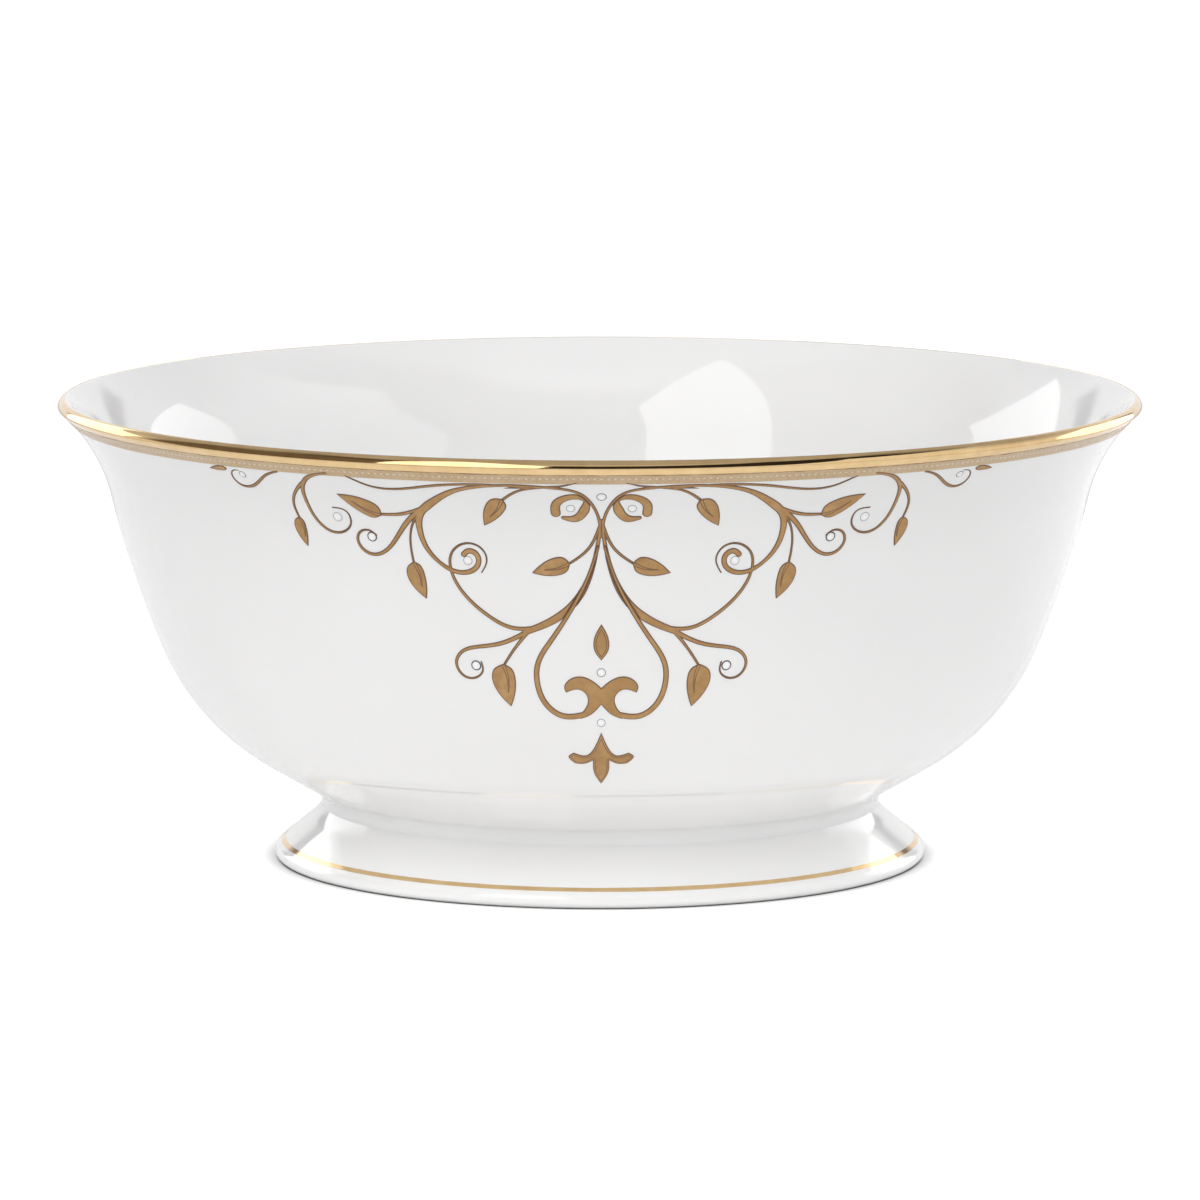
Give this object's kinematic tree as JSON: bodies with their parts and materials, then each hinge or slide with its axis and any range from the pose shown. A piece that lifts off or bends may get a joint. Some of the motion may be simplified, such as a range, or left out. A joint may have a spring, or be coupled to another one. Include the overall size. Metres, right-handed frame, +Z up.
{
  "type": "serving bowl",
  "caption": "Deep round porcelain serving bowl on a hollow flared foot, with a gilded lip, a gold foot line and raised gold scrollwork on front and back.",
  "frame": {"origin": "centre of the foot's resting plane, on the bowl's axis", "axes": "+Z up along the bowl's axis; the front ornament faces -Y and the back one faces +Y"},
  "size_m": [0.2402, 0.2402, 0.1031],
  "materials": {
    "porcelain": "glossy clear glaze on white porcelain",
    "burnished_gold": "burnished fired gold",
    "matte_gold": "matte raised fired gold",
    "border_ground": "satin tan enamel print",
    "white_enamel": "glossy raised white enamel"
  },
  "bodies": {
    "root": {"bowl_body": "porcelain", "pedestal_foot": "porcelain", "luting_slip_seam": "porcelain", "rim_gold_band": "burnished_gold", "foot_gold_line": "burnished_gold", "border_ground_band": "border_ground", "front_vine_scrolls": "matte_gold", "back_vine_scrolls": "matte_gold", "front_leaves": "matte_gold", "back_leaves": "matte_gold", "front_centre_scroll": "matte_gold", "back_centre_scroll": "matte_gold", "front_c_scrolls": "matte_gold", "back_c_scrolls": "matte_gold", "front_drop_ornaments": "matte_gold", "back_drop_ornaments": "matte_gold", "front_enamel_dots": "white_enamel", "back_enamel_dots": "white_enamel"}
  },
  "joints": []
}
